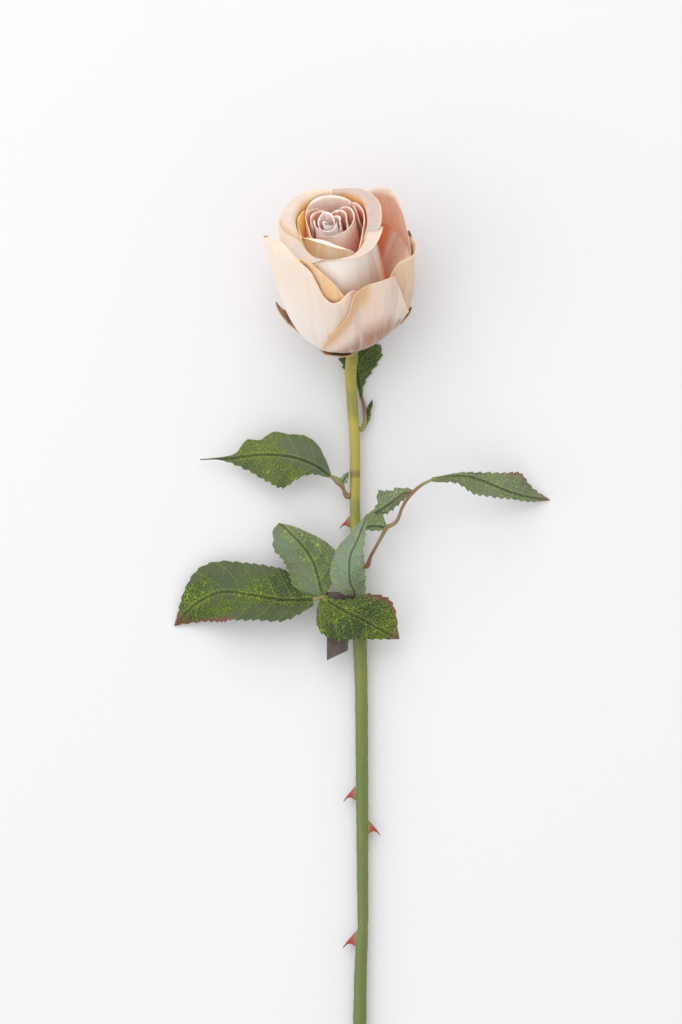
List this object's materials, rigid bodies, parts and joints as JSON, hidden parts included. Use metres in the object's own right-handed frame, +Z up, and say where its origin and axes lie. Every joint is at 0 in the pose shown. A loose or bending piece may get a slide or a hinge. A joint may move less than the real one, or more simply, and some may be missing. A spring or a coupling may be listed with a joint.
{
  "type": "cut rose",
  "caption": "Half-open cream rose with apricot depths on a long thorny stem with toothed leaves and a blank stalk label, lying face up.",
  "frame": {"origin": "middle of the footprint of the lying rose, on the table that it rests on", "axes": "+Y along the stem from the cut end to the bloom, +X to the right as the picture shows it, +Z up from the table"},
  "size_m": [0.1884, 0.4992, 0.0843],
  "materials": {
    "petals": "satin cream petals, apricot to orange in the depths",
    "calyx": "matt olive green with brown edges",
    "stem": "smooth green bark with red-brown thorns",
    "leaves": "dark green blades with a pale net of veins and red margins",
    "label": "plain dark taupe strip"
  },
  "bodies": {
    "root": {"bloom": "petals", "calyx": "calyx", "stem": "stem", "leaf_behind_bloom": "leaves", "leaf_upper_left": "leaves", "leaf_right": "leaves", "leaf_lower": "leaves", "label": "label"}
  },
  "joints": []
}
